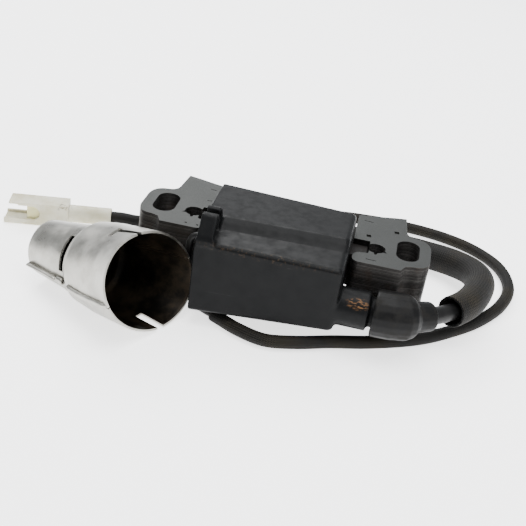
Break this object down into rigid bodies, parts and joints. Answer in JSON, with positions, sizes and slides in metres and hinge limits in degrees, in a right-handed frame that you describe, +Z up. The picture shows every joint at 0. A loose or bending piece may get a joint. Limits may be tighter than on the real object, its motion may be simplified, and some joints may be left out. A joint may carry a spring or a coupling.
{
  "type": "ignition coil",
  "caption": "Flywheel ignition coil for a small engine: laminated core, moulded coil case, spark plug lead with a sheet-metal plug shroud, and a stop-switch lead with a nylon connector.",
  "frame": {"origin": "middle of the footprint of the coil, core and plug shroud, on the surface that the assembly lies on; the free leads are left out of the footprint", "axes": "+X along the coil towards its high-tension tower, +Y towards the flywheel side of the core, +Z up"},
  "size_m": [0.1831, 0.1214, 0.037],
  "materials": {
    "lamination_steel": "satin, stamped silicon steel sheets",
    "core_bar_steel": "dull, filmed with dark resin",
    "case_plastic": "satin glass-filled moulding",
    "potting": "cast epoxy, slightly glossy",
    "bobbin_plastic": "moulded",
    "thick_copper": "enamelled copper wire",
    "fine_copper": "fine enamelled copper wire",
    "circuit_board": "solder mask",
    "black_component": "moulded",
    "film_component": "dipped",
    "ceramic": "fired ceramic",
    "tinned_metal": "tinned, satin",
    "brass": "satin",
    "boot_rubber": "dusty matt rubber",
    "cable_jacket": "smooth satin jacket",
    "woven_sleeve": "close plain weave, varnished",
    "nylon": "milky natural nylon",
    "insert_plastic": "pale yellow nylon",
    "shroud_steel": "satin plated sheet, brown edges"
  },
  "bodies": {
    "root": {"core_left_wing": "lamination_steel", "core_right_wing": "lamination_steel", "core_bar": "core_bar_steel", "coil_case": "case_plastic", "potting_resin": "potting", "primary_bobbin": "bobbin_plastic", "primary_winding": "thick_copper", "secondary_bobbin": "bobbin_plastic", "secondary_winding_1": "fine_copper", "secondary_winding_2": "fine_copper", "secondary_winding_3": "fine_copper", "secondary_winding_4": "fine_copper", "module_board": "circuit_board", "power_transistor": "black_component", "timing_capacitor": "film_component", "bias_resistor": "ceramic", "ground_strap": "tinned_metal", "hv_contact": "brass", "tower_cap": "boot_rubber", "hv_cable": "cable_jacket", "hv_sleeve": "woven_sleeve", "kill_wire": "cable_jacket", "kill_sleeve": "woven_sleeve", "connector_housing": "nylon", "connector_insert": "insert_plastic", "connector_terminal": "tinned_metal", "shroud_upper_shell": "shroud_steel", "shroud_lower_shell": "shroud_steel", "plug_cap_body": "boot_rubber", "plug_resistor": "ceramic", "plug_terminal_clip": "brass"}
  },
  "joints": []
}
